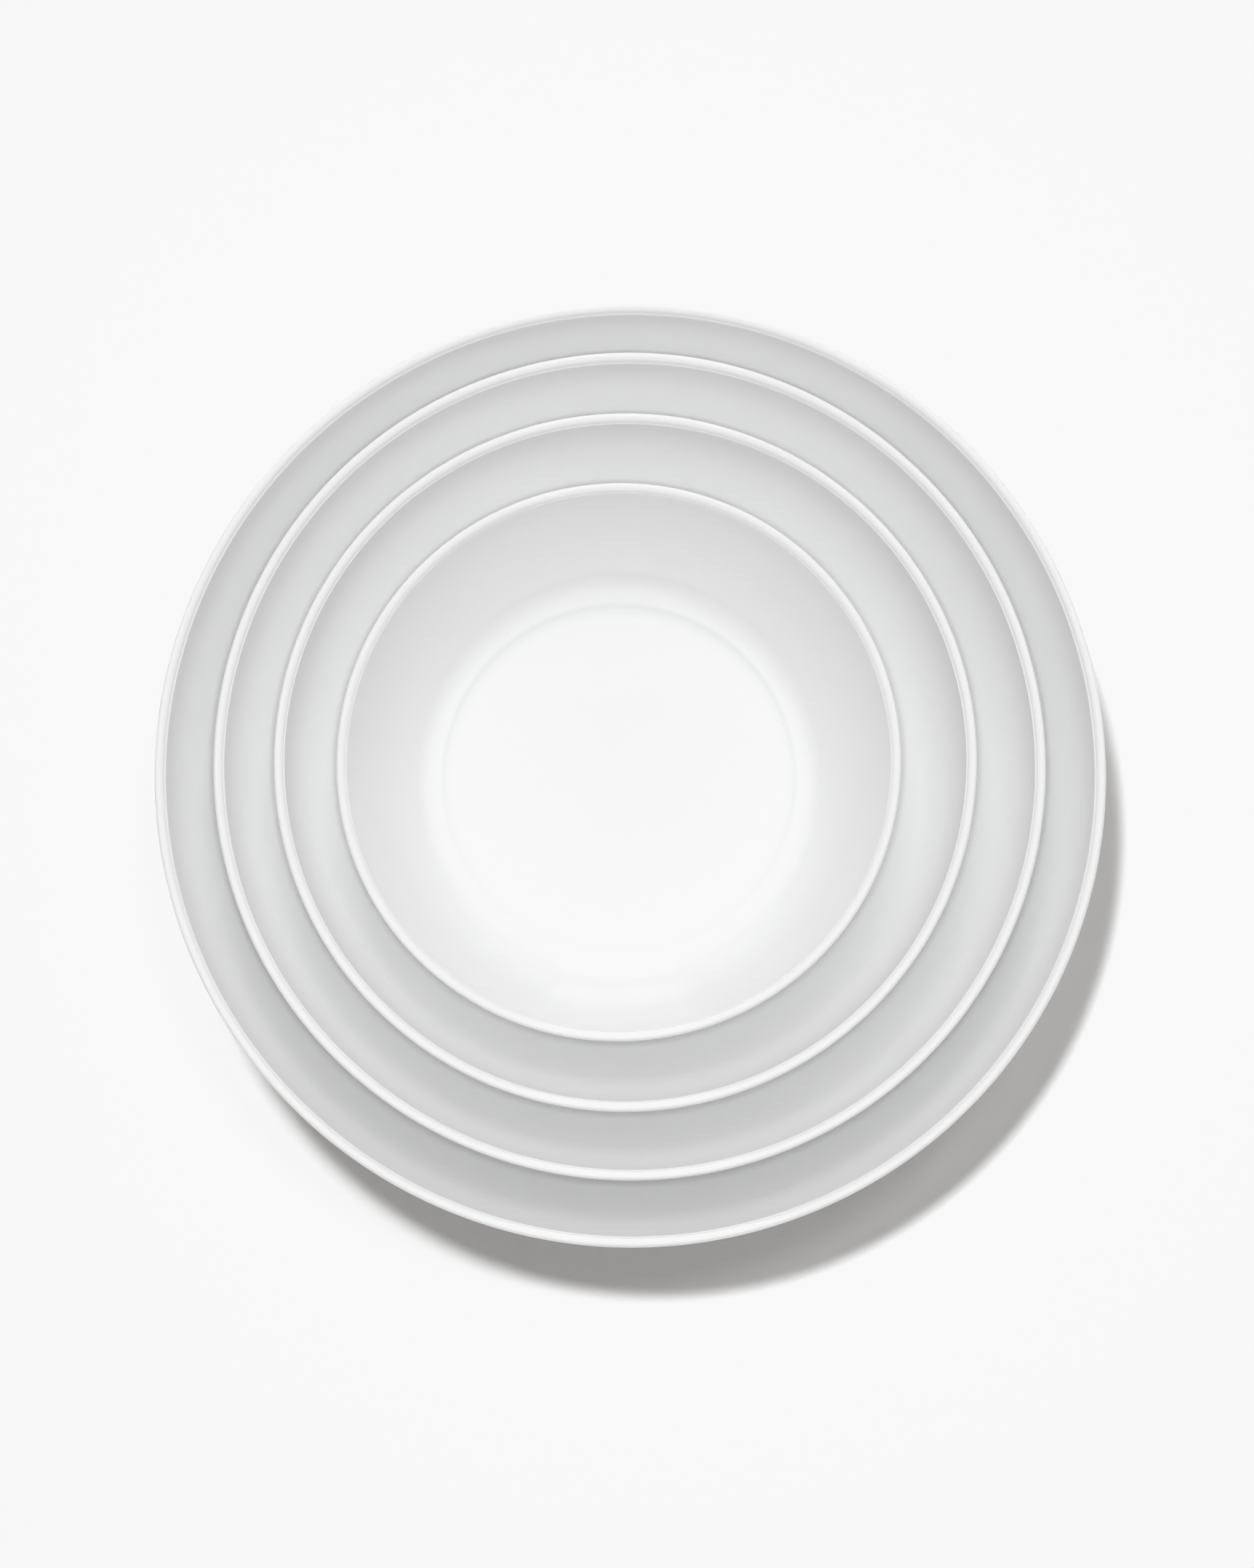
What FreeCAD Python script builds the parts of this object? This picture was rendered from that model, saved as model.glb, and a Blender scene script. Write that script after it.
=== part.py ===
# Nest of four round glazed porcelain bowls, stacked one inside another.
#
# Frame: +Z up, millimetres, origin at the centre of the largest bowl's foot
# ring, on the plane that the nest stands on.  X and Y lie in that plane.
#
# Every bowl is one fired piece, turned about its own axis.  Its half section
# runs from the axis along the sunk disc of the floor, over a low step, up a
# wall of two tangent arcs to a full-round lip, back down the outside parallel
# to the inside, and round a foot ring with a recess under the floor.
# The section is a sketch on the body's XZ plane, the bowl is its revolution
# about Z, and the foot ring's edges are filleted.

import FreeCAD, Part
import math
import os
import Sketcher

doc = FreeCAD.newDocument("nesting_bowls")

# ---------------------------------------------------------------- dimensions
# Shared by the four bowls.
COMMON = [
    ("lip_radius", "1.5", "half the wall, so the lip is a full round"),
    ("floor_level", "6.5", "top of the wall's root above the foot plane"),
    ("step_drop", "0.25", "how far the floor's disc is sunk"),
    ("step_run", "1.4", "width of the slope round the disc"),
    ("root_angle", "6.0", "slope of the inner wall where it leaves the floor, degrees"),
    ("recess_level", "3.0", "height of the recess under the floor"),
    ("ring_width", "3.4", "width of the foot ring's contact band"),
    ("ring_lean_out", "0.5", "lean of the foot ring's outer face"),
    ("ring_lean_in", "0.8", "lean of the foot ring's inner face"),
    ("edge_round", "0.7", "rounding of the foot ring's two edges"),
    ("neck_round", "1.2", "rounding between foot ring and wall"),
]

# One set per bowl: rim diameter, height, floor disc radius, foot ring outer
# radius at the wall, radius of the cove, radius of the upper wall, and the
# place of the foot in the nest.
BOWLS = [
    # name, rim_dia, height, disc_r, ring_r, cove_r, wall_r, seat_x, seat_y, seat_z
    ("large", 250.2, 56.5, 77.7, 76.4, 20.0, 178.8, 0.0, 0.0, 0.0),
    ("medium", 219.6, 49.6, 68.2, 67.0, 17.7, 151.9, -0.23, 2.21, 6.25),
    ("small", 185.4, 41.9, 57.6, 56.4, 15.0, 121.7, -1.39, 3.39, 12.5),
    ("smallest", 148.9, 33.9, 46.3, 45.1, 11.8, 91.6, -3.1, 3.43, 18.75),
]
FIELDS = ("rim_dia", "height", "disc_radius", "ring_radius", "cove_radius",
          "wall_radius", "seat_x", "seat_y", "seat_z")

sheet = doc.addObject("Spreadsheet::Sheet", "sizes")
value = {}
row = 1


def put(alias, number, note):
    global row
    sheet.set("A%d" % row, alias)
    sheet.set("B%d" % row, str(number))
    sheet.set("C%d" % row, note)
    sheet.setAlias("B%d" % row, alias)
    value[alias] = float(number)
    row += 1


for alias, number, note in COMMON:
    put(alias, number, note)
for bowl in BOWLS:
    for field, number in zip(FIELDS, bowl[1:]):
        put("%s_%s" % (bowl[0], field), number, "%s of the %s bowl" % (field.replace("_", " "), bowl[0]))
doc.recompute()


# ------------------------------------------------------------ section points
def section(size):
    """Points and arc centres of the half section, from the sizes alone."""
    lip, floor = value["lip_radius"], value["floor_level"]
    drop, run = value["step_drop"], value["step_run"]
    a0 = math.radians(value["root_angle"])
    r1, r2 = size["cove_radius"], size["wall_radius"]
    root = (size["disc_radius"] + run, floor)
    lip_c = (size["rim_dia"] / 2 - lip, size["height"] - lip)
    c1 = (root[0] - r1 * math.sin(a0), root[1] + r1 * math.cos(a0))
    # The upper wall's centre is r2 - r1 from the cove's centre and r2 + lip
    # from the lip's centre.
    near, far = abs(r2 - r1), r2 + lip
    dx, dz = lip_c[0] - c1[0], lip_c[1] - c1[1]
    d = math.hypot(dx, dz)
    along = (near * near - far * far + d * d) / (2 * d)
    side = math.sqrt(near * near - along * along)
    options = [
        (c1[0] + along * dx / d - s * side * dz / d, c1[1] + along * dz / d + s * side * dx / d)
        for s in (1, -1)
    ]
    c2 = max(options, key=lambda c: c[1])
    join_a = math.atan2(c1[0] - c2[0], c2[1] - c1[1])       # slope where the arcs meet
    end_a = math.atan2(lip_c[0] - c2[0], c2[1] - lip_c[1])  # slope under the lip
    join = (c1[0] + r1 * math.sin(join_a), c1[1] - r1 * math.cos(join_a))
    wall = 2 * lip
    top_in = (c2[0] + r2 * math.sin(end_a), c2[1] - r2 * math.cos(end_a))
    top_out = (c2[0] + (r2 + wall) * math.sin(end_a), c2[1] - (r2 + wall) * math.cos(end_a))
    join_out = (c1[0] + (r1 + wall) * math.sin(join_a), c1[1] - (r1 + wall) * math.cos(join_a))
    ring = size["ring_radius"]
    neck_a = math.asin((ring - c1[0]) / (r1 + wall))
    neck = (ring, c1[1] - (r1 + wall) * math.cos(neck_a))
    return dict(
        hub=(0.0, floor - drop), disc=(size["disc_radius"], floor - drop), root=root,
        join=join, top_in=top_in, top_out=top_out, join_out=join_out, neck=neck,
        lip_c=lip_c, c1=c1, c2=c2, a0=a0, join_a=join_a, end_a=end_a, neck_a=neck_a,
        toe=(ring - value["ring_lean_out"], 0.0),
        heel=(ring - value["ring_lean_out"] - value["ring_width"], 0.0),
        eave=(ring - value["ring_lean_out"] - value["ring_width"] - value["ring_lean_in"], value["recess_level"]),
        nave=(0.0, value["recess_level"]),
    )


def vec(p):
    return FreeCAD.Vector(p[0], p[1], 0)


def arc(centre, radius, start, end):
    return Part.ArcOfCircle(
        Part.Circle(vec(centre), FreeCAD.Vector(0, 0, 1), radius), start, end)


def make_bowl(name):
    size = {f: value["%s_%s" % (name, f)] for f in FIELDS}
    p = section(size)
    lip, wall = value["lip_radius"], 2 * value["lip_radius"]
    r1, r2 = size["cove_radius"], size["wall_radius"]

    body = doc.addObject("PartDesign::Body", "%s_body" % name)
    body.Label = "bowl_%s" % name
    plane = [f for f in body.Origin.OriginFeatures if f.Role == "XZ_Plane"][0]
    sk = body.newObject("Sketcher::SketchObject", "%s_section" % name)
    sk.AttachmentSupport = [(plane, "")]
    sk.MapMode = "FlatFace"
    doc.recompute()

    down = -math.pi / 2  # an arc angle of -90 degrees is the bottom of a circle
    line = Part.LineSegment
    disc = sk.addGeometry(line(vec(p["hub"]), vec(p["disc"])), False)
    step = sk.addGeometry(line(vec(p["disc"]), vec(p["root"])), False)
    cove = sk.addGeometry(arc(p["c1"], r1, down + p["a0"], down + p["join_a"]), False)
    inner = sk.addGeometry(arc(p["c2"], r2, down + p["join_a"], down + p["end_a"]), False)
    round_lip = sk.addGeometry(
        arc(p["lip_c"], lip, down + p["end_a"], down + p["end_a"] + math.pi), False)
    outer = sk.addGeometry(arc(p["c2"], r2 + wall, down + p["join_a"], down + p["end_a"]), False)
    belly = sk.addGeometry(arc(p["c1"], r1 + wall, down + p["neck_a"], down + p["join_a"]), False)
    ring_out = sk.addGeometry(line(vec(p["neck"]), vec(p["toe"])), False)
    ring_flat = sk.addGeometry(line(vec(p["toe"]), vec(p["heel"])), False)
    ring_in = sk.addGeometry(line(vec(p["heel"]), vec(p["eave"])), False)
    recess = sk.addGeometry(line(vec(p["eave"]), vec(p["nave"])), False)
    axis = sk.addGeometry(line(vec(p["nave"]), vec(p["hub"])), False)
    # A short line that leaves the root at the wall's first slope.
    lead_end = (p["root"][0] + 8 * math.cos(p["a0"]), p["root"][1] + 8 * math.sin(p["a0"]))
    lead = sk.addGeometry(line(vec(p["root"]), vec(lead_end)), True)

    C = Sketcher.Constraint
    START, END, MID = 1, 2, 3
    X_AXIS, Y_AXIS = -1, -2

    def fix(kind, *args):
        return sk.addConstraint(C(kind, *args))

    def bind(index, expression):
        sk.setExpression("Constraints[%d]" % index, expression)

    def cell(field):
        return "<<sizes>>.%s_%s" % (name, field)

    # joints of the outline
    fix("Coincident", disc, END, step, START)
    fix("Coincident", step, END, cove, START)
    fix("Tangent", cove, END, inner, START)
    fix("Tangent", inner, END, round_lip, END)
    fix("Tangent", round_lip, START, outer, END)
    fix("Coincident", inner, MID, outer, MID)
    fix("Coincident", cove, MID, belly, MID)
    fix("Tangent", outer, START, belly, END)
    fix("Coincident", belly, START, ring_out, START)
    fix("Coincident", ring_out, END, ring_flat, START)
    fix("Coincident", ring_flat, END, ring_in, START)
    fix("Coincident", ring_in, END, recess, START)
    fix("Coincident", recess, END, axis, START)
    fix("Coincident", axis, END, disc, START)
    # directions
    fix("Horizontal", disc)
    fix("Horizontal", recess)
    fix("Horizontal", ring_flat)
    fix("PointOnObject", disc, START, Y_AXIS)
    fix("PointOnObject", recess, END, Y_AXIS)
    fix("PointOnObject", ring_flat, START, X_AXIS)
    # floor and step
    bind(fix("DistanceX", -1, 1, disc, END, size["disc_radius"]), cell("disc_radius"))
    bind(fix("DistanceY", -1, 1, disc, END, p["disc"][1]), "<<sizes>>.floor_level - <<sizes>>.step_drop")
    bind(fix("DistanceX", disc, END, step, END, value["step_run"]), "<<sizes>>.step_run")
    bind(fix("DistanceY", -1, 1, step, END, value["floor_level"]), "<<sizes>>.floor_level")
    # wall: the lead line sets the first slope, the two radii set the rest
    fix("Tangent", lead, START, cove, START)
    fix("Distance", lead, 8.0)
    bind(fix("Angle", lead, p["a0"]), "<<sizes>>.root_angle * 1 deg")
    bind(fix("Radius", cove, r1), cell("cove_radius"))
    bind(fix("Radius", inner, r2), cell("wall_radius"))
    # lip
    bind(fix("Radius", round_lip, lip), "<<sizes>>.lip_radius")
    bind(fix("DistanceX", -1, 1, round_lip, MID, p["lip_c"][0]), cell("rim_dia") + " / 2 - <<sizes>>.lip_radius")
    bind(fix("DistanceY", -1, 1, round_lip, MID, p["lip_c"][1]), cell("height") + " - <<sizes>>.lip_radius")
    # foot ring
    bind(fix("DistanceX", -1, 1, ring_out, START, size["ring_radius"]), cell("ring_radius"))
    bind(fix("DistanceX", ring_out, END, ring_out, START, value["ring_lean_out"]), "<<sizes>>.ring_lean_out")
    bind(fix("DistanceX", ring_flat, END, ring_flat, START, value["ring_width"]), "<<sizes>>.ring_width")
    bind(fix("DistanceX", ring_in, END, ring_in, START, value["ring_lean_in"]), "<<sizes>>.ring_lean_in")
    bind(fix("DistanceY", -1, 1, recess, END, value["recess_level"]), "<<sizes>>.recess_level")
    doc.recompute()
    print(name, "sketch solves", sk.solve(), "fully constrained", sk.FullyConstrained,
          "slopes %.1f %.1f" % (math.degrees(p["join_a"]), math.degrees(p["end_a"])),
          "neck z %.2f" % p["neck"][1])

    turned = body.newObject("PartDesign::Revolution", "%s_turned" % name)
    turned.Profile = sk
    turned.ReferenceAxis = (sk, ["V_Axis"])
    turned.Angle = 360.0
    doc.recompute()

    def circles(radius, level):
        """Names of the circular edges of that radius at that height."""
        found = []
        for i, e in enumerate(turned.Shape.Edges, 1):
            if hasattr(e.Curve, "Radius") and abs(e.Curve.Radius - radius) < 0.02 \
                    and abs(e.Curve.Center.z - level) < 0.02:
                found.append("Edge%d" % i)
        return found

    edges = circles(p["toe"][0], 0.0) + circles(p["heel"][0], 0.0)
    soft = body.newObject("PartDesign::Fillet", "%s_ring_edges" % name)
    soft.Base = (turned, edges)
    soft.Radius = value["edge_round"]
    soft.setExpression("Radius", "<<sizes>>.edge_round")
    doc.recompute()
    neck_edges = []
    for i, e in enumerate(soft.Shape.Edges, 1):
        if hasattr(e.Curve, "Radius") and abs(e.Curve.Radius - p["neck"][0]) < 0.02 \
                and abs(e.Curve.Center.z - p["neck"][1]) < 0.02:
            neck_edges.append("Edge%d" % i)
    neck = body.newObject("PartDesign::Fillet", "%s_neck" % name)
    neck.Base = (soft, neck_edges)
    neck.Radius = value["neck_round"]
    neck.setExpression("Radius", "<<sizes>>.neck_round")
    body.Tip = neck
    doc.recompute()

    body.setExpression("Placement.Base.x", cell("seat_x"))
    body.setExpression("Placement.Base.y", cell("seat_y"))
    body.setExpression("Placement.Base.z", cell("seat_z"))
    doc.recompute()
    return body


bowls = [make_bowl(b[0]) for b in BOWLS]
doc.recompute()

# ------------------------------------------------------------------- checks
for obj in doc.Objects:
    bad = [s for s in obj.State if s in ("Invalid", "Error")]
    if bad:
        raise RuntimeError("%s is %s" % (obj.Name, bad))
for body in bowls:
    shape = body.Shape
    if shape.isNull() or not shape.isValid() or len(shape.Solids) != 1:
        raise RuntimeError("%s has no valid single solid" % body.Label)
    box = shape.optimalBoundingBox()
    print("%s  X %.2f..%.2f  Y %.2f..%.2f  Z %.2f..%.2f  volume %.1f cm3" % (
        body.Label, box.XMin, box.XMax, box.YMin, box.YMax, box.ZMin, box.ZMax, shape.Volume / 1000))
for i in range(len(bowls)):
    for j in range(i + 1, len(bowls)):
        shared = bowls[i].Shape.common(bowls[j].Shape).Volume
        print("%s and %s share %.4f mm3" % (bowls[i].Label, bowls[j].Label, shared))
        if shared > 0.01:
            raise RuntimeError("two bowls overlap")

# -------------------------------------------------------------------- export
os.makedirs("parts", exist_ok=True)
for body in bowls:
    body.Shape.exportStep(os.path.join("parts", body.Label + ".step"))
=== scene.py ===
import math

import bpy
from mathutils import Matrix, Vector


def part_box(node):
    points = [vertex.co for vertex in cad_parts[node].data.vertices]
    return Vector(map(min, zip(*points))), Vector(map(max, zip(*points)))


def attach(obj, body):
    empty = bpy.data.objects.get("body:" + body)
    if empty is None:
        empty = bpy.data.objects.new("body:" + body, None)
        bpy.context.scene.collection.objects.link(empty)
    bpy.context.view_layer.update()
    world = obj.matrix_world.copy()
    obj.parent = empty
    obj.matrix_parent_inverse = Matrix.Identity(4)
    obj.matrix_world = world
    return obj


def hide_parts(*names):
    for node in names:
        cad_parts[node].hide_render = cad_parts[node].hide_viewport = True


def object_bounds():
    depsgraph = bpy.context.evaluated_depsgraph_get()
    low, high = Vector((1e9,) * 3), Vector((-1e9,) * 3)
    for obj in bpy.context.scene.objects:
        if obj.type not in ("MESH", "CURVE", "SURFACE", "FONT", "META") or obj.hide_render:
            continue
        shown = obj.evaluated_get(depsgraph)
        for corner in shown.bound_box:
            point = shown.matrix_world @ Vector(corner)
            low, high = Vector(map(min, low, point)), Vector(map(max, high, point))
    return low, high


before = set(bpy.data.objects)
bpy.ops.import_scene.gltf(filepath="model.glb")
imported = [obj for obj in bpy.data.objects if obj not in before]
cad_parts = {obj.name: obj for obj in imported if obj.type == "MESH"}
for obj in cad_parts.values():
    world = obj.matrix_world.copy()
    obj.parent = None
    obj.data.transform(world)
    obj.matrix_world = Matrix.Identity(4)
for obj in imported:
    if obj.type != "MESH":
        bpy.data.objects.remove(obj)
cad_lo, cad_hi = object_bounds()
scene = bpy.context.scene

MM = 0.001
SEGMENTS = 288

# ------------------------------------------------------------------ the bowls
# Sizes shared by the four bowls, in millimetres, as in the CAD sheet.
LIP, WALL = 1.5, 3.0
# the wall draws down to a finer lip, whose crest lies towards its outer edge
INNER, OUTER = 2.1, 0.8
FLOOR, DROP, RUN, ROOT = 6.5, 0.25, 1.4, math.radians(6.0)
RECESS, RING_W, LEAN_OUT, LEAN_IN = 3.0, 3.4, 0.5, 0.8

# Disc, foot ring, cove and wall radii of each bowl. Its rim, its height and its
# place come from its CAD node's box. Then how far its rim has sagged out of round
# in the kiln with the angles of the two- and three-lobed parts, and the white of its
# glaze on the upper wall and down in the cove, which is painted shade and painted
# light: the large bowl is painted darker all over, and the smallest is painted
# lighter in its cove than up its wall. Then how far the hollow's bottom lies off
# the rim's centre, in y.
BOWLS = {
    "large": dict(disc=77.7, ring=76.4, cove=20.0, wall=178.8, sag=(0.16, 0.14), turn=(92, 75), white=(0.911, 0.911), off=0.0, seed=1.0),
    "medium": dict(disc=68.2, ring=67.0, cove=17.7, wall=151.9, sag=(0.28, 0.12), turn=(97, 83), white=(0.936, 0.936), off=0.0, seed=2.7),
    "small": dict(disc=57.6, ring=56.4, cove=15.0, wall=121.7, sag=(0.22, 0.04), turn=(71, 20), white=(0.936, 0.936), off=0.0, seed=4.1),
    "smallest": dict(disc=46.3, ring=45.1, cove=11.8, wall=91.6, sag=(0.22, 0.09), turn=(39, 87), white=(0.929, 0.966), off=-1.0, seed=5.9),
}


def arc(centre, radius, a, b, steps, ends=True):
    """Points of an arc from angle a to b, measured from straight down."""
    out = []
    for i in range(steps + 1):
        if not ends and i in (0, steps):
            continue
        t = a + (b - a) * i / steps
        out.append((centre[0] + radius * math.sin(t), centre[1] - radius * math.cos(t)))
    return out


def run(p, q, steps):
    """Points strictly between p and q."""
    return [
        (p[0] + (q[0] - p[0]) * i / steps, p[1] + (q[1] - p[1]) * i / steps)
        for i in range(1, steps)
    ]


def rounded(p, q, r, radius, steps):
    """The corner q between p and r, rounded to that radius."""
    a = Vector((p[0] - q[0], p[1] - q[1])).normalized()
    b = Vector((r[0] - q[0], r[1] - q[1])).normalized()
    half = a.angle(b) / 2
    reach = radius / math.tan(half)
    centre = Vector(q) + (a + b).normalized() * (radius / math.sin(half))
    start, end = Vector(q) + a * reach - centre, Vector(q) + b * reach - centre
    turn = math.atan2(start.x * end.y - start.y * end.x, start.dot(end))
    out = []
    for i in range(steps + 1):
        t = turn * i / steps
        c, s = math.cos(t), math.sin(t)
        out.append((centre.x + start.x * c - start.y * s, centre.y + start.x * s + start.y * c))
    return out


def section(spec, rim_r, height):
    """The half section from the middle of the floor, over the lip, to the middle
    of the recess underneath, as (radius, height, part) in millimetres."""
    lip_c = (rim_r - LIP, height - LIP)
    root = (spec["disc"] + RUN, FLOOR)
    r1, r2 = spec["cove"], spec["wall"]
    c1 = (root[0] - r1 * math.sin(ROOT), root[1] + r1 * math.cos(ROOT))
    near, far = abs(r2 - r1), r2 + LIP
    dx, dz = lip_c[0] - c1[0], lip_c[1] - c1[1]
    d = math.hypot(dx, dz)
    along = (near * near - far * far + d * d) / (2 * d)
    side = math.sqrt(near * near - along * along)
    c2 = max(
        [
            (c1[0] + along * dx / d - s * side * dz / d, c1[1] + along * dz / d + s * side * dx / d)
            for s in (1, -1)
        ],
        key=lambda c: c[1],
    )
    join = math.atan2(c1[0] - c2[0], c2[1] - c1[1])
    end = math.atan2(lip_c[0] - c2[0], c2[1] - lip_c[1])
    neck_a = math.asin((spec["ring"] - c1[0]) / (r1 + WALL))
    neck = (spec["ring"], c1[1] - (r1 + WALL) * math.cos(neck_a))
    toe = (spec["ring"] - LEAN_OUT, 0.0)
    heel = (toe[0] - RING_W, 0.0)
    eave = (heel[0] - LEAN_IN, RECESS)
    bottom = FLOOR - DROP

    pts = []

    def add(points, part):
        pts.extend((x, z, part) for x, z in points)

    # the sunk disc, then the step, softened by the glaze that ran into it
    disc = spec["disc"]
    add([(disc * k / 26, bottom) for k in range(1, 25)], "floor")
    ease = 15
    edge = disc - 0.6
    add([(edge, bottom)], "floor")
    for k in range(1, ease + 1):
        s = k / ease
        lift = s * s * s * (s * (6 * s - 15) + 10)
        x = edge + (root[0] + 0.4 - edge) * s
        on_wall = c1[1] - math.sqrt(r1 * r1 - (x - c1[0]) ** 2) if x > root[0] else FLOOR
        add([(x, bottom + (on_wall - bottom) * lift)], "step")
    start = math.asin((root[0] + 0.4 - c1[0]) / r1)
    add(arc(c1, r1, start, join, 14)[1:], "wall")
    add(arc(c2, r2, join, end, 54)[1:], "wall")
    crest = rim_r - OUTER
    lip = arc((crest, height - INNER), INNER, end + math.pi, math.pi, 12)
    lip += arc((crest, height - OUTER), OUTER, math.pi, end, 14)[1:]
    add(lip[1:-1], "lip")
    add(arc(c2, r2 + WALL, end, join, 50), "back")
    # the two faces draw in a little and run tangent into the lip's arcs
    thinned = (LIP - OUTER) * math.sin(end)
    off = dict(
        wall=thinned - (INNER - LIP) * (1 - math.cos(end)),
        back=thinned - (LIP - OUTER) * (1 + math.cos(end)),
    )
    for i, (x, z, part) in enumerate(pts):
        if part in off and z > height - 14:
            near_lip = min(1.0, (z - (height - 14)) / 12.0)
            w = off[part] * near_lip * near_lip * (3 - 2 * near_lip)
            pts[i] = (x + w * math.sin(end), z - w * math.cos(end), part)
    # the wall's back runs into the foot ring's neck through a small cove
    low = neck_a + 1.3 / (r1 + WALL)
    back = arc(c1, r1 + WALL, join, low, 10)[1:]
    add(back, "back")
    before = back[-1]
    soft = rounded(before, (neck[0], neck[1]), toe, 1.2, 8)
    add(soft, "neck")
    add(run(soft[-1], (toe[0], 0.7), 4), "ring")
    outer_edge = rounded(soft[-1], toe, heel, 0.7, 7)
    inner_edge = rounded(toe, heel, eave, 0.7, 7)
    add(outer_edge, "foot")
    add(run(outer_edge[-1], inner_edge[0], 5), "foot")
    add(inner_edge, "foot")
    add(run(inner_edge[-1], eave, 3), "ring")
    under = rounded(inner_edge[-1], eave, (0.0, RECESS), 0.9, 6)
    add(under, "under")
    add([(under[-1][0] * k / 24, RECESS) for k in range(23, 0, -1)], "under")
    return pts, dict(neck=neck, toe=toe, heel=heel)


def thin(radius):
    """How many points a ring of that radius has, fewer towards the middle."""
    n = SEGMENTS
    for limit in (30, 15, 7.5, 3.5):
        if radius < limit:
            n //= 2
    return n


def turned(name, spec):
    """One bowl as a closed mesh, in the row frame."""
    lo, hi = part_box("bowl_" + name)
    cx, cy, cz = (lo.x + hi.x) / 2 / MM, (lo.y + hi.y) / 2 / MM, lo.z / MM
    rim_r, height = (hi.x - lo.x) / 2 / MM, (hi.z - lo.z) / MM
    pts, marks = section(spec, rim_r, height)
    verts, faces, kinds, glaze = [], [], [], []
    rings = []
    (s2, s3), (t2, t3) = spec["sag"], [math.radians(t) for t in spec["turn"]]

    def place(r, z, a, part):
        # the rim sags out of round and dips a little; the foot stays true, and the
        # hollow may lie a little off its own rim
        share = max(0.0, (z - FLOOR) / (height - FLOOR)) ** 1.6
        out = s2 * math.cos(2 * (a - t2)) + s3 * math.cos(3 * (a - t3))
        dip = -0.10 * (1 + math.cos(2 * (a - t3))) / 2 * share
        r2 = r + (out - s2 - s3) * share * min(1.0, r / 30)
        x, y = r2 * math.cos(a), r2 * math.sin(a)
        if part in ("floor", "step", "wall"):
            u = min(1.0, max(0.0, (z - FLOOR) / (height - FLOOR - 3.0)))
            y += spec["off"] * (1 - u * u * (3 - 2 * u))
        return ((cx + x) * MM, (cy + y) * MM, (cz + z + dip) * MM)

    hub = len(verts)
    verts.append((cx * MM, (cy + spec["off"]) * MM, (cz + FLOOR - DROP) * MM))
    for r, z, part in pts:
        n = thin(r)
        first = len(verts)
        for j in range(n):
            verts.append(place(r, z, 2 * math.pi * j / n, part))
        rings.append((first, n, part, r, z))
    nave = len(verts)
    verts.append((cx * MM, cy * MM, (cz + RECESS) * MM))

    def between(a, b, part):
        fa, na = a[0], a[1]
        fb, nb = b[0], b[1]
        if na == nb:
            for j in range(na):
                k = (j + 1) % na
                faces.append((fa + j, fb + j, fb + k, fa + k))
                kinds.append(part)
        elif nb == 2 * na:
            for j in range(na):
                k = (j + 1) % na
                b0, b1, b2 = fb + 2 * j, fb + 2 * j + 1, fb + (2 * j + 2) % nb
                faces.append((fa + j, b0, b1))
                faces.append((fa + j, b1, fa + k))
                faces.append((fa + k, b1, b2))
                kinds.extend([part] * 3)
        elif na == 2 * nb:
            for j in range(nb):
                k = (j + 1) % nb
                a0, a1, a2 = fa + 2 * j, fa + 2 * j + 1, fa + (2 * j + 2) % na
                faces.append((a0, fb + j, a1))
                faces.append((a1, fb + j, fb + k))
                faces.append((a1, fb + k, a2))
                kinds.extend([part] * 3)

    f0, n0 = rings[0][0], rings[0][1]
    for j in range(n0):
        faces.append((hub, f0 + j, f0 + (j + 1) % n0))
        kinds.append("floor")
    for a, b in zip(rings, rings[1:]):
        part = "foot" if a[2] == "foot" and b[2] == "foot" else ("glaze")
        between(a, b, part)
    f1, n1 = rings[-1][0], rings[-1][1]
    for j in range(n1):
        faces.append((nave, f1 + (j + 1) % n1, f1 + j))
        kinds.append("glaze")

    mesh = bpy.data.meshes.new("bowl_%s_glazed" % name)
    mesh.from_pydata(verts, [], faces)
    mesh.update()
    mesh.validate()
    for p, kind in zip(mesh.polygons, kinds):
        p.use_smooth = True
        p.material_index = 1 if kind == "foot" else 0
    # how much glaze lies on each point: pooled in the step and the neck, drawn thin
    # off the lip
    depth = mesh.attributes.new("glaze_depth", "FLOAT", "POINT")
    values = [0.5] * len(verts)
    disc = spec["disc"]
    for first, n, part, r, z in rings:
        v = 0.5
        if part in ("floor", "step", "wall") and z < 12:
            v += 0.5 * math.exp(-(((r - disc - 0.1) / 1.1) ** 2))
        if part == "lip" or (part in ("wall", "back") and z > height - 4):
            v -= 0.5 * math.exp(-(((height - z) / 2.2) ** 2))
        if part in ("neck", "ring"):
            v += 0.4
        for j in range(n):
            values[first + j] = max(0.0, min(1.0, v))
    depth.data.foreach_set("value", values)
    # painted light mask: 1 from the floor up through the cove, 0 up the wall; the base
    # # colour is painted lighter where it is 1 and darker where it is 0
    foot, top = disc + RUN, rim_r
    cove_light_attribute = mesh.attributes.new("painted_cove_light", "FLOAT", "POINT")
    cove_light_values = [0.0] * len(verts)
    for first, n, part, r, z in rings:
        if part in ("floor", "step", "wall"):
            u = min(1.0, max(0.0, (r - foot) / (top - foot) / 0.72 - 0.12))
            for j in range(n):
                cove_light_values[first + j] = 1 - u * u * (3 - 2 * u)
    cove_light_values[hub] = 1.0
    cove_light_attribute.data.foreach_set("value", cove_light_values)
    ob = bpy.data.objects.new("bowl_%s_glazed" % name, mesh)
    scene.collection.objects.link(ob)
    return ob


# -------------------------------------------------------------------- finishes
def nodes_of(material):
    material.use_nodes = True
    tree = material.node_tree
    tree.nodes.clear()
    return tree


def node(tree, kind, **values):
    n = tree.nodes.new(kind)
    for k, v in values.items():
        if k in n.inputs:
            n.inputs[k].default_value = v
        else:
            setattr(n, k, v)
    return n


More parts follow.
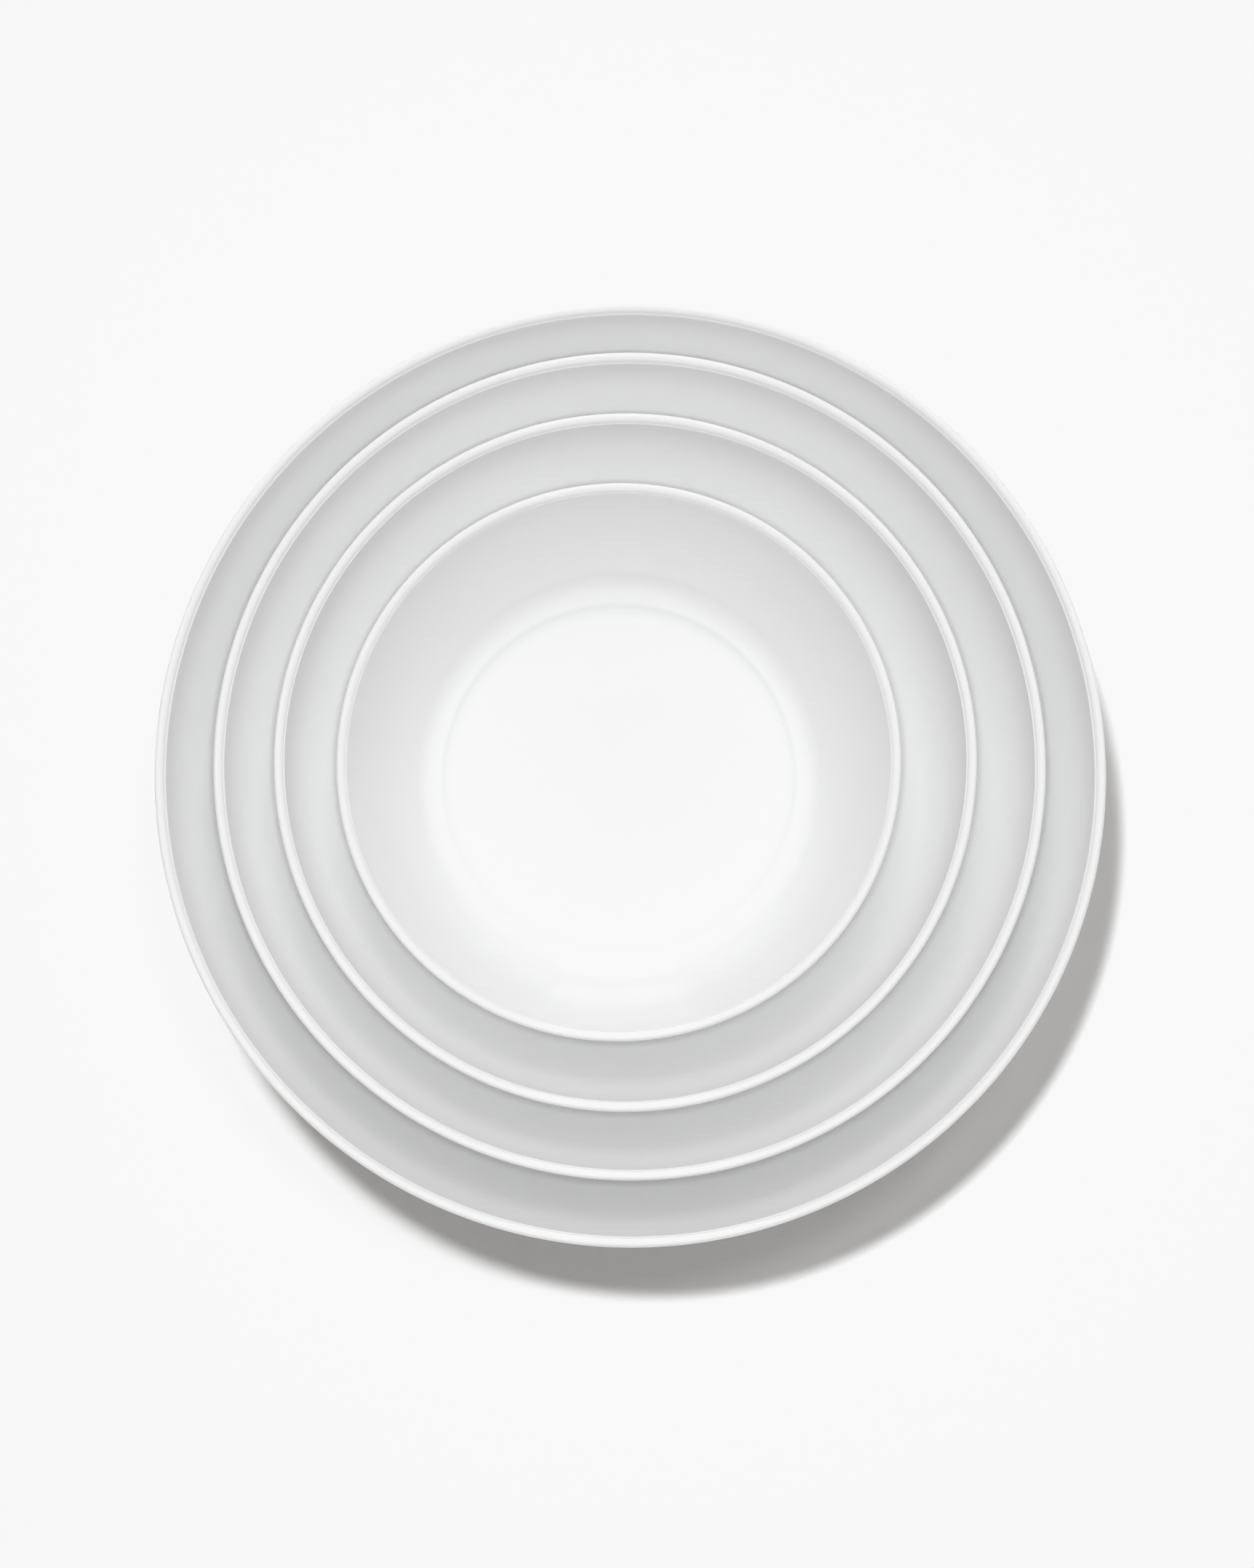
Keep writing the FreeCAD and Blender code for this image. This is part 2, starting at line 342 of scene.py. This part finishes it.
def ramp(tree, source, low, high, a, b):
    """Maps source from low..high to a..b."""
    m = tree.nodes.new("ShaderNodeMapRange")
    m.interpolation_type = "SMOOTHSTEP"
    m.inputs["From Min"].default_value, m.inputs["From Max"].default_value = low, high
    m.inputs["To Min"].default_value, m.inputs["To Max"].default_value = a, b
    tree.links.new(source, m.inputs["Value"])
    return m.outputs["Result"]


def mix(tree, factor, a, b, blend="MIX"):
    m = tree.nodes.new("ShaderNodeMix")
    m.data_type, m.blend_type = "RGBA", blend
    tree.links.new(factor, m.inputs["Factor"])
    for name, v in (("A", a), ("B", b)):
        socket = [s for s in m.inputs if s.name == name and s.type == "RGBA"][0]
        if isinstance(v, tuple):
            socket.default_value = v
        else:
            tree.links.new(v, socket)
    return [s for s in m.outputs if s.type == "RGBA"][0]


def noise(tree, coords, scale, detail=2.0, rough=0.5, shift=None):
    n = node(tree, "ShaderNodeTexNoise", Scale=scale, Detail=detail, Roughness=rough)
    if shift is not None:
        m = node(tree, "ShaderNodeMapping")
        m.inputs["Location"].default_value = shift
        tree.links.new(coords, m.inputs["Vector"])
        coords = m.outputs["Vector"]
    tree.links.new(coords, n.inputs["Vector"])
    return n.outputs["Fac"]


def glaze_material(name, seed, wall_white_painted_shade, cove_white_painted_light):
    """Clear gloss glaze on white porcelain."""
    m = bpy.data.materials.new(name)
    t = nodes_of(m)
    out = node(t, "ShaderNodeOutputMaterial")
    p = node(t, "ShaderNodeBsdfPrincipled")
    t.links.new(p.outputs["BSDF"], out.inputs["Surface"])
    co = node(t, "ShaderNodeTexCoord").outputs["Object"]
    # body colour: white, clouded by a percent, with painted light and painted shade:
    # # lighter down in the cove and darker up the wall. Greyer and cooler where glaze
    # # pools, warmer where it is drawn thin
    cloud = ramp(t, noise(t, co, 22.0, 3.0, 0.55, (seed, seed * 0.7, 0)), 0.3, 0.7, 0.0, 1.0)
    # painted light and painted shade: the cove's white is lighter, the wall's darker
    cove_light_mask = node(t, "ShaderNodeAttribute", attribute_name="painted_cove_light").outputs["Fac"]
    a, b = wall_white_painted_shade, cove_white_painted_light
    body = mix(t, cove_light_mask, (a, a, a, 1), (b, b, b, 1))
    a, b = a - 0.010, b - 0.010
    clouded = mix(t, cove_light_mask, (a, a, a, 1), (b, b, b, 1))
    colour = mix(t, cloud, clouded, body)
    depth = node(t, "ShaderNodeAttribute", attribute_name="glaze_depth").outputs["Fac"]
    colour = mix(t, ramp(t, depth, 0.5, 1.0, 0.0, 1.0), colour, (0.906, 0.912, 0.913, 1))
    colour = mix(t, ramp(t, depth, 0.5, 0.0, 0.0, 1.0), colour, (0.950, 0.949, 0.946, 1))
    t.links.new(colour, p.inputs["Base Color"])
    # fire skin: gloss that drifts a little over the surface
    drift = noise(t, co, 35.0, 2.0, 0.5, (0, seed, seed))
    t.links.new(ramp(t, drift, 0.3, 0.7, 0.045, 0.085), p.inputs["Roughness"])
    p.inputs["IOR"].default_value = 1.5
    p.inputs["Coat Weight"].default_value = 0.25
    p.inputs["Coat Roughness"].default_value = 0.03
    p.inputs["Coat IOR"].default_value = 1.5
    # the glaze lies in very low, long waves, with a fine peel on them
    waves = noise(t, co, 28.0, 1.5, 0.45, (seed * 1.3, 0, seed))
    peel = noise(t, co, 520.0, 2.0, 0.5)
    b1 = node(t, "ShaderNodeBump", Strength=1.0, Distance=0.00010)
    t.links.new(waves, b1.inputs["Height"])
    b2 = node(t, "ShaderNodeBump", Strength=0.35, Distance=0.000004)
    t.links.new(peel, b2.inputs["Height"])
    t.links.new(b1.outputs["Normal"], b2.inputs["Normal"])
    t.links.new(b2.outputs["Normal"], p.inputs["Normal"])
    return m


def bisque_material():
    """Bare fired porcelain on the foot's contact band: matt, slightly warm, with a
    grain, and greyed where it has rubbed on shelves."""
    m = bpy.data.materials.new("bare_bisque")
    t = nodes_of(m)
    out = node(t, "ShaderNodeOutputMaterial")
    p = node(t, "ShaderNodeBsdfPrincipled")
    t.links.new(p.outputs["BSDF"], out.inputs["Surface"])
    co = node(t, "ShaderNodeTexCoord").outputs["Object"]
    grain = noise(t, co, 2600.0, 4.0, 0.6)
    cloud = noise(t, co, 60.0, 3.0, 0.6)
    colour = mix(t, ramp(t, cloud, 0.3, 0.7, 0, 1), (0.80, 0.775, 0.735, 1), (0.86, 0.845, 0.815, 1))
    colour = mix(t, ramp(t, grain, 0.35, 0.65, 0, 0.5), colour, (0.72, 0.70, 0.665, 1))
    scuff = noise(t, co, 240.0, 5.0, 0.7, (3, 1, 2))
    colour = mix(t, ramp(t, scuff, 0.60, 0.72, 0, 0.55), colour, (0.55, 0.54, 0.53, 1))
    t.links.new(colour, p.inputs["Base Color"])
    t.links.new(ramp(t, grain, 0.3, 0.7, 0.72, 0.92), p.inputs["Roughness"])
    p.inputs["IOR"].default_value = 1.45
    b = node(t, "ShaderNodeBump", Strength=0.6, Distance=0.00003)
    t.links.new(grain, b.inputs["Height"])
    t.links.new(b.outputs["Normal"], p.inputs["Normal"])
    return m


bisque = bisque_material()
bowls = []
for name, spec in BOWLS.items():
    ob = turned(name, spec)
    # the whites given here are painted shade and painted light, bowl by bowl
    ob.data.materials.append(glaze_material("white_glaze_" + name, spec["seed"], *spec["white"]))
    ob.data.materials.append(bisque)
    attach(ob, name)
    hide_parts("bowl_" + name)
    bowls.append(ob)

# ----------------------------------------------------------------------- stage
floor_mesh = bpy.data.meshes.new("floor")
floor_mesh.from_pydata([(-20, -20, 0), (20, -20, 0), (20, 20, 0), (-20, 20, 0)], [], [(0, 1, 2, 3)])
floor = bpy.data.objects.new("floor", floor_mesh)
scene.collection.objects.link(floor)
paper = bpy.data.materials.new("floor_paper")
t = nodes_of(paper)
out = node(t, "ShaderNodeOutputMaterial")
p = node(t, "ShaderNodeBsdfPrincipled", Roughness=0.95)
p.inputs["Base Color"].default_value = (0.904, 0.900, 0.895, 1)
p.inputs["Specular IOR Level"].default_value = 0.0
t.links.new(p.outputs["BSDF"], out.inputs["Surface"])
floor_mesh.materials.append(paper)

# a pale backdrop far behind, all round, for low views. It only shows: it gives the
# bowls and the floor no light
ring = [(9.0 * math.cos(math.pi * k / 48), 9.0 * math.sin(math.pi * k / 48)) for k in range(96)]
backdrop_mesh = bpy.data.meshes.new("backdrop")
backdrop_mesh.from_pydata(
    [(x, y, z) for z in (-0.01, 7.0) for x, y in ring],
    [],
    [(k, (k + 1) % 96, 96 + (k + 1) % 96, 96 + k) for k in range(96)],
)
backdrop = bpy.data.objects.new("backdrop", backdrop_mesh)
scene.collection.objects.link(backdrop)
backdrop.visible_diffuse = backdrop.visible_glossy = False
backdrop.visible_transmission = backdrop.visible_shadow = False
pale = bpy.data.materials.new("backdrop_paper")
t = nodes_of(pale)
out = node(t, "ShaderNodeOutputMaterial")
glow = node(t, "ShaderNodeEmission", Strength=1.0)
glow.inputs["Color"].default_value = (0.87, 0.87, 0.87, 1)
t.links.new(glow.outputs["Emission"], out.inputs["Surface"])
backdrop_mesh.materials.append(pale)

# ---------------------------------------------------------------------- camera
# Nearly straight down from 2.2 m, tipped 8 degrees towards the front.
RIM_PLANE = (cad_hi.z - cad_lo.z)
STAND_OFF = 2.2
tilt_up = math.acos(0.14)
back = Vector((0, -math.cos(tilt_up), math.sin(tilt_up)))
target = Vector((-0.000965, -0.003250, RIM_PLANE))
camera_data = bpy.data.cameras.new("camera")
camera_data.sensor_width, camera_data.sensor_fit = 36.0, "AUTO"
# 5.25 pixels of the 1724 x 2156 frame to each millimetre of the largest rim
camera_data.lens = 5.25 * (STAND_OFF / MM) * 36.0 / 2156
camera_data.clip_end = 100
camera = bpy.data.objects.new("camera", camera_data)
camera.location = target + back * STAND_OFF
camera.rotation_mode = "QUATERNION"
camera.rotation_quaternion = (-back).to_track_quat("-Z", "Y")
scene.collection.objects.link(camera)
scene.camera = camera

# ---------------------------------------------------------------------- lights
# Soft boxes light the porcelain, and two keys and a side box light the floor, so
# that the bowls' own shading stays soft while they cast one clear shadow.
on_bowls = bpy.data.collections.new("lit_by_soft_boxes")
for ob in bowls:
    on_bowls.objects.link(ob)
on_floor = bpy.data.collections.new("lit_by_key")
on_floor.objects.link(floor)


def direction(azimuth, elevation):
    """Unit vector to the light: azimuth from +Y towards +X, in degrees."""
    a, e = math.radians(azimuth), math.radians(elevation)
    return Vector((math.sin(a) * math.cos(e), math.cos(a) * math.cos(e), math.sin(e)))


def soft_box(name, azimuth, elevation, distance, size, energy, receivers, glints=True):
    light = bpy.data.lights.new(name, "AREA")
    light.shape, light.size, light.energy = "SQUARE", size, energy
    light.color = (0.986, 1.0, 1.014)
    o = bpy.data.objects.new(name, light)
    d = direction(azimuth, elevation)
    o.location = d * distance
    o.rotation_mode = "QUATERNION"
    o.rotation_quaternion = (-d).to_track_quat("-Z", "Y")
    o.visible_camera = False
    o.visible_glossy = glints
    scene.collection.objects.link(o)
    o.light_linking.receiver_collection = receivers
    return o


SOFT_BOXES = [
    # name, azimuth, elevation, distance, size, energy, whether it shows as a glint
    ("back_box_lowest", 0, 15, 2.0, 0.9, 3.7, True),
    ("back_box_low", 0, 30, 2.0, 0.9, 2.1, True),
    ("back_box_mid", 0, 45, 2.0, 0.9, 4.9, False),
    ("back_box_high", 0, 60, 2.0, 0.9, 2.5, False),
    ("back_box_top", 0, 75, 2.0, 0.9, 3.0, False),
    ("front_fill", 180, 60, 2.0, 0.9, 0.95, True),
    ("camera_side_box", 180, 82, 2.0, 0.3, 19.5, False),
]
for name, az, el, dist, size, energy, glints in SOFT_BOXES:
    soft_box(name, az, el, dist, size, energy, on_bowls, glints)
# one small window, seen only as the fine line that runs along the lips
window = soft_box("window_glint", 0, 68, 2.0, 0.3, 0.8, on_bowls)
window.visible_diffuse = False

soft_box("floor_side_box", 80, 35, 2.5, 2.0, 3.7, on_floor)


def floor_key(name, azimuth, elevation, strength, degrees):
    light = bpy.data.lights.new(name, "SUN")
    light.energy, light.angle = strength, math.radians(degrees)
    light.color = (0.984, 1.0, 1.016)
    o = bpy.data.objects.new(name, light)
    o.rotation_mode = "QUATERNION"
    o.rotation_quaternion = (-direction(azimuth, elevation)).to_track_quat("-Z", "Y")
    scene.collection.objects.link(o)
    o.light_linking.receiver_collection = on_floor


# the key is a long light: three suns in a row, which draw the shadow's edge out
# softly towards the front left and leave it sharper towards the front right
for k, (reach, strength) in enumerate(((0.0, 1.09), (1.5, 0.65), (3.2, 0.43))):
    dx, dy = 8.3 - 0.707 * reach, -7.9 - 0.707 * reach
    azimuth = math.degrees(math.atan2(-dx, -dy))
    elevation = math.degrees(math.atan2(RIM_PLANE / MM, math.hypot(dx, dy)))
    floor_key("floor_key_%d" % (k + 1), azimuth, elevation, strength, 4.0)
floor_key("floor_second_key", 50.0, 78.0, 0.32, 9.0)
soft_box("floor_ceiling", 0, 90, 1.6, 4.0, 4.0, on_floor)

world = bpy.data.worlds.new("studio")
scene.world = world
world.use_nodes = True
world.node_tree.nodes["Background"].inputs["Color"].default_value = (1.05, 1.0, 0.955, 1)
world.node_tree.nodes["Background"].inputs["Strength"].default_value = 0.1817

scene.cycles.max_bounces = 24
scene.cycles.diffuse_bounces = 16
scene.cycles.glossy_bounces = 4

scene.view_settings.view_transform = "Standard"
scene.view_settings.look = "None"
scene.view_settings.exposure = 0.0
scene.view_settings.gamma = 1.0
# a soft shoulder: the paper and the whitest porcelain both end at the same white
scene.view_settings.use_curve_mapping = True
tones = scene.view_settings.curve_mapping
tones.extend = "HORIZONTAL"
shoulder = tones.curves[3]
shoulder.points[0].location = (0.0, 0.0)
shoulder.points[1].location = (1.0, 0.943)
for x, y in ((0.80, 0.80), (0.86, 0.866), (0.90, 0.914), (0.94, 0.936)):
    shoulder.points.new(x, y)
tones.update()
